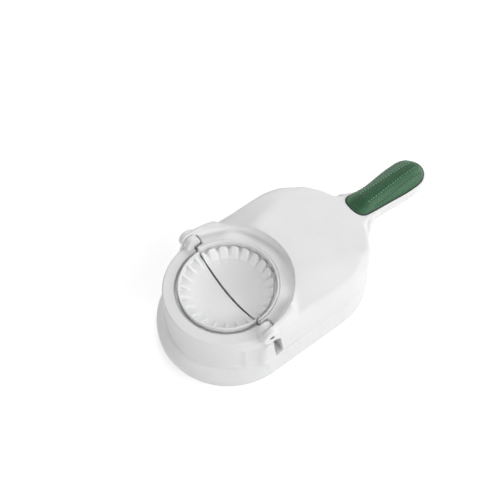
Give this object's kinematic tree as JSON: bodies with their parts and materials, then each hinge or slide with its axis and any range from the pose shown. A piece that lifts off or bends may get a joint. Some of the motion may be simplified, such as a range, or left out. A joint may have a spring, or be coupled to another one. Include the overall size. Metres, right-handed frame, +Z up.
{
  "type": "dumpling maker",
  "caption": "Hand press and fold-over mould for dumplings: a base and a lever cover hinged across a round crimping mould",
  "frame": {"origin": "under the middle of the whole outline, on the table", "axes": "+X along the hinge, +Y from the mould to the handle, +Z up from the table"},
  "size_m": [0.0944, 0.2098, 0.051],
  "materials": {
    "white_plastic": "satin moulded plastic",
    "green_grip": "soft grained grip with two rows of stitches",
    "grey_plate": "fine matt",
    "rubber": "soft matt",
    "steel": "bright zinc plated"
  },
  "bodies": {
    "base": {"base_shell": "white_plastic", "base_bottom_plate": "grey_plate", "front_mould": "white_plastic", "press_plate": "white_plastic", "foot_front_left": "rubber", "foot_front_right": "rubber", "foot_rear_left": "rubber", "foot_rear_right": "rubber", "front_mould_screws": "steel", "press_plate_screws": "steel", "bottom_plate_screws": "steel"},
    "cover": {"cover_shell": "white_plastic", "cover_underside": "grey_plate", "rear_mould": "white_plastic", "press_disc": "white_plastic", "handle_lower": "white_plastic", "handle_grip": "green_grip", "hinge_pin_left": "steel", "hinge_pin_right": "steel", "rear_mould_screws": "steel", "cover_underside_screws": "steel", "handle_screws": "steel"}
  },
  "joints": [
    {"name": "cover_hinge", "type": "hinge", "parent": "base", "child": "cover", "pos_m": [0, -0.05765, 0.0448], "axis": [1, 0, 0], "range_deg": [0, 180]}
  ]
}
